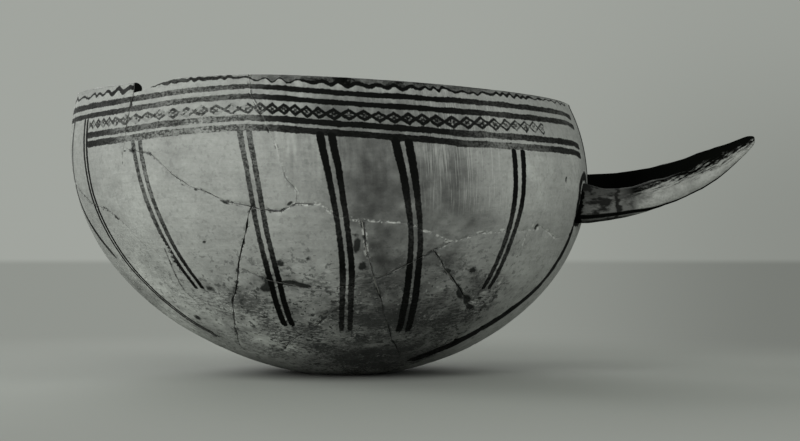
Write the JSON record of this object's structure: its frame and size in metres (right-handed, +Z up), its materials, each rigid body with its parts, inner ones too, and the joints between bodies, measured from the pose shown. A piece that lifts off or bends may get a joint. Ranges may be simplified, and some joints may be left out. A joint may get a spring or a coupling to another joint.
{
  "type": "handled bowl",
  "caption": "Round-bottomed hand-made bowl with a wishbone handle, mended from its broken wall pieces.",
  "frame": {"origin": "middle of the small flattened foot, on the surface the bowl stands on", "axes": "+Z up through the mouth, +X towards the handle, +Y across the bowl; the picture looks along +Y"},
  "size_m": [0.2525, 0.19, 0.1029],
  "materials": {
    "slip": "matt pale slip with worn dark painted lines, smoked and eroded in places",
    "handle_clay": "matt slip with worn dark paint",
    "filler": "matt pale mending filler"
  },
  "bodies": {
    "root": {"foot": "slip", "handle": "handle_clay", "handle_near_root": "handle_clay", "joint_filler": "filler", "rim_left": "slip", "rim_front_left": "slip", "rim_front": "slip", "rim_back_right": "slip", "rim_back_left": "slip", "wall_left": "slip", "wall_centre": "slip", "wall_wedge": "slip", "wall_low_left": "slip", "wall_low_centre": "slip", "wall_base_centre": "slip", "wall_low_front": "slip", "wall_low_right": "slip", "wall_right": "slip", "wall_low_back": "slip"}
  },
  "joints": []
}
